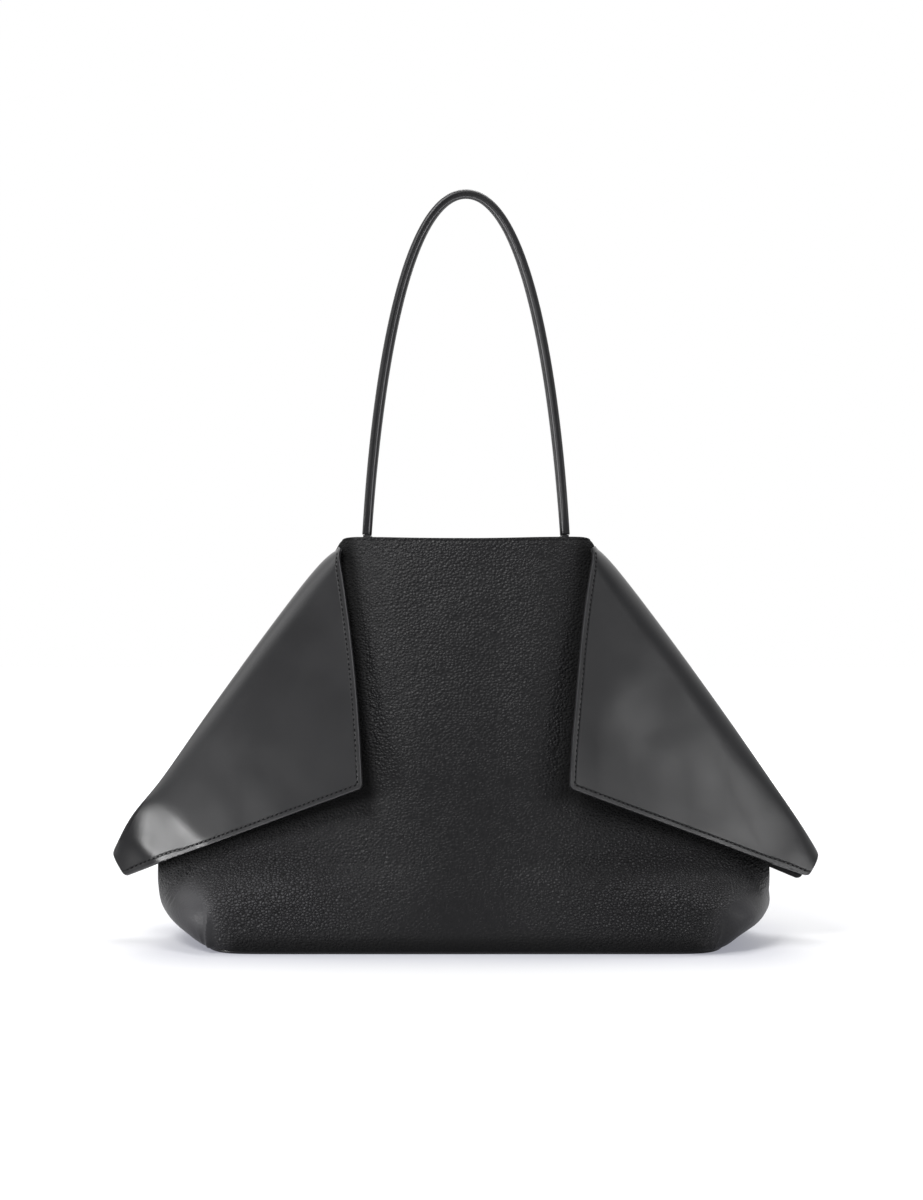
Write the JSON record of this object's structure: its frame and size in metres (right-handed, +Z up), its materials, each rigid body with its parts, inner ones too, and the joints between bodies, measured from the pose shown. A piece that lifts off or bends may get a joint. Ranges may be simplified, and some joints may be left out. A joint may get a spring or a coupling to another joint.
{
  "type": "shopper bag",
  "caption": "Leather shopper bag with a boxed base, an oval mouth, a leather wing folded over each shoulder and two rolled shoulder handles.",
  "frame": {"origin": "centre of the base's underside, on the ground", "axes": "+Z up from the base to the handles, -Y out of the front panel, +X to the right seen from the front"},
  "size_m": [0.569, 0.1522, 0.607],
  "materials": {
    "pebbled_leather": "small even pebble grain, dark charcoal, low sheen",
    "smooth_leather": "smooth charcoal leather with a soft sheen and a painted edge",
    "wing_lining": "matte charcoal lining leather",
    "lining": "plain dark woven lining",
    "board": "brown fibre board",
    "cord": "undyed twisted cotton cord",
    "snap_metal": "dark nickel"
  },
  "bodies": {
    "body": {"base_panel": "pebbled_leather", "base_board": "board", "base_lining": "lining", "front_panel": "pebbled_leather", "front_lining": "lining", "front_facing": "smooth_leather", "back_panel": "pebbled_leather", "back_lining": "lining", "back_facing": "smooth_leather", "front_left_handle_tab": "smooth_leather", "front_right_handle_tab": "smooth_leather", "back_left_handle_tab": "smooth_leather", "back_right_handle_tab": "smooth_leather", "snap_socket": "snap_metal", "snap_stud": "snap_metal", "left_wing_fold": "smooth_leather", "left_wing_fold_lining": "wing_lining", "right_wing_fold": "smooth_leather", "right_wing_fold_lining": "wing_lining"},
    "front_handle": {"front_handle": "smooth_leather", "front_handle_cord": "cord"},
    "back_handle": {"back_handle": "smooth_leather", "back_handle_cord": "cord"},
    "left_front_flap": {"left_front_flap": "smooth_leather", "left_front_flap_lining": "wing_lining"},
    "left_back_flap": {"left_back_flap": "smooth_leather", "left_back_flap_lining": "wing_lining"},
    "right_front_flap": {"right_front_flap": "smooth_leather", "right_front_flap_lining": "wing_lining"},
    "right_back_flap": {"right_back_flap": "smooth_leather", "right_back_flap_lining": "wing_lining"}
  },
  "joints": [
    {"name": "front_handle_swing", "type": "hinge", "parent": "body", "child": "front_handle", "pos_m": [0, -0.01628, 0.32743], "axis": [1, 0, 0], "range_deg": [0, 105]},
    {"name": "back_handle_swing", "type": "hinge", "parent": "body", "child": "back_handle", "pos_m": [0, 0.01628, 0.32743], "axis": [-1, 0, 0], "range_deg": [0, 105]},
    {"name": "left_front_flap_lift", "type": "hinge", "parent": "body", "child": "left_front_flap", "pos_m": [-0.102, -0.022, 0.31154], "axis": [-0.5863, 0.0462, -0.8088], "range_deg": [0, 140]},
    {"name": "left_back_flap_lift", "type": "hinge", "parent": "body", "child": "left_back_flap", "pos_m": [-0.102, 0.022, 0.31154], "axis": [0.5863, 0.0462, 0.8088], "range_deg": [0, 140]},
    {"name": "right_front_flap_lift", "type": "hinge", "parent": "body", "child": "right_front_flap", "pos_m": [0.102, -0.022, 0.31154], "axis": [-0.5863, -0.0462, 0.8088], "range_deg": [0, 140]},
    {"name": "right_back_flap_lift", "type": "hinge", "parent": "body", "child": "right_back_flap", "pos_m": [0.102, 0.022, 0.31154], "axis": [0.5863, -0.0462, -0.8088], "range_deg": [0, 140]}
  ]
}
